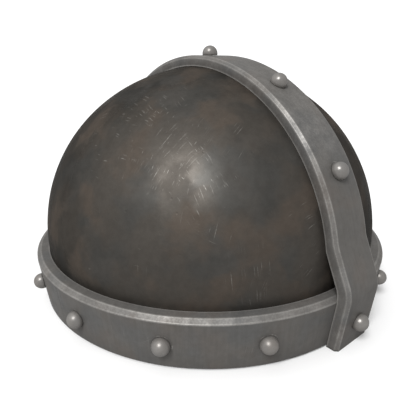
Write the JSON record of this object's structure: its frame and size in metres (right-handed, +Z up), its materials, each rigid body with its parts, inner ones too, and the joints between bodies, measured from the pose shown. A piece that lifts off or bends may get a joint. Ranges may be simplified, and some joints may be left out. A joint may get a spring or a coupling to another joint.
{
  "type": "norse iron helmet",
  "caption": "Round iron helmet: a hollow dome with a riveted brow band round its rim and a riveted crest band from front to back.",
  "frame": {"origin": "centre of the helmet's footprint, on the surface that the two feet of the crest band stand on", "axes": "+Z up through the top of the dome, the crest band runs along Y with the front at -Y, +X to the side"},
  "size_m": [0.2426, 0.2608, 0.1552],
  "materials": {
    "dark_iron": "dark forge-browned iron with rust patches and fine scratches",
    "band_iron": "worn grey iron with bright rubbed edges",
    "rivet_iron": "rubbed grey iron, half polished by wear"
  },
  "bodies": {
    "root": {"dome": "dark_iron", "brow_band": "band_iron", "crest_band": "band_iron", "rivet_brow_01": "rivet_iron", "rivet_brow_02": "rivet_iron", "rivet_brow_03": "rivet_iron", "rivet_brow_04": "rivet_iron", "rivet_brow_05": "rivet_iron", "rivet_brow_06": "rivet_iron", "rivet_brow_07": "rivet_iron", "rivet_brow_08": "rivet_iron", "rivet_brow_09": "rivet_iron", "rivet_brow_10": "rivet_iron", "rivet_brow_11": "rivet_iron", "rivet_brow_12": "rivet_iron", "rivet_crest_01": "rivet_iron", "rivet_crest_02": "rivet_iron", "rivet_crest_03": "rivet_iron", "rivet_crest_04": "rivet_iron", "rivet_crest_05": "rivet_iron", "rivet_foot_01": "rivet_iron", "rivet_foot_02": "rivet_iron"}
  },
  "joints": []
}
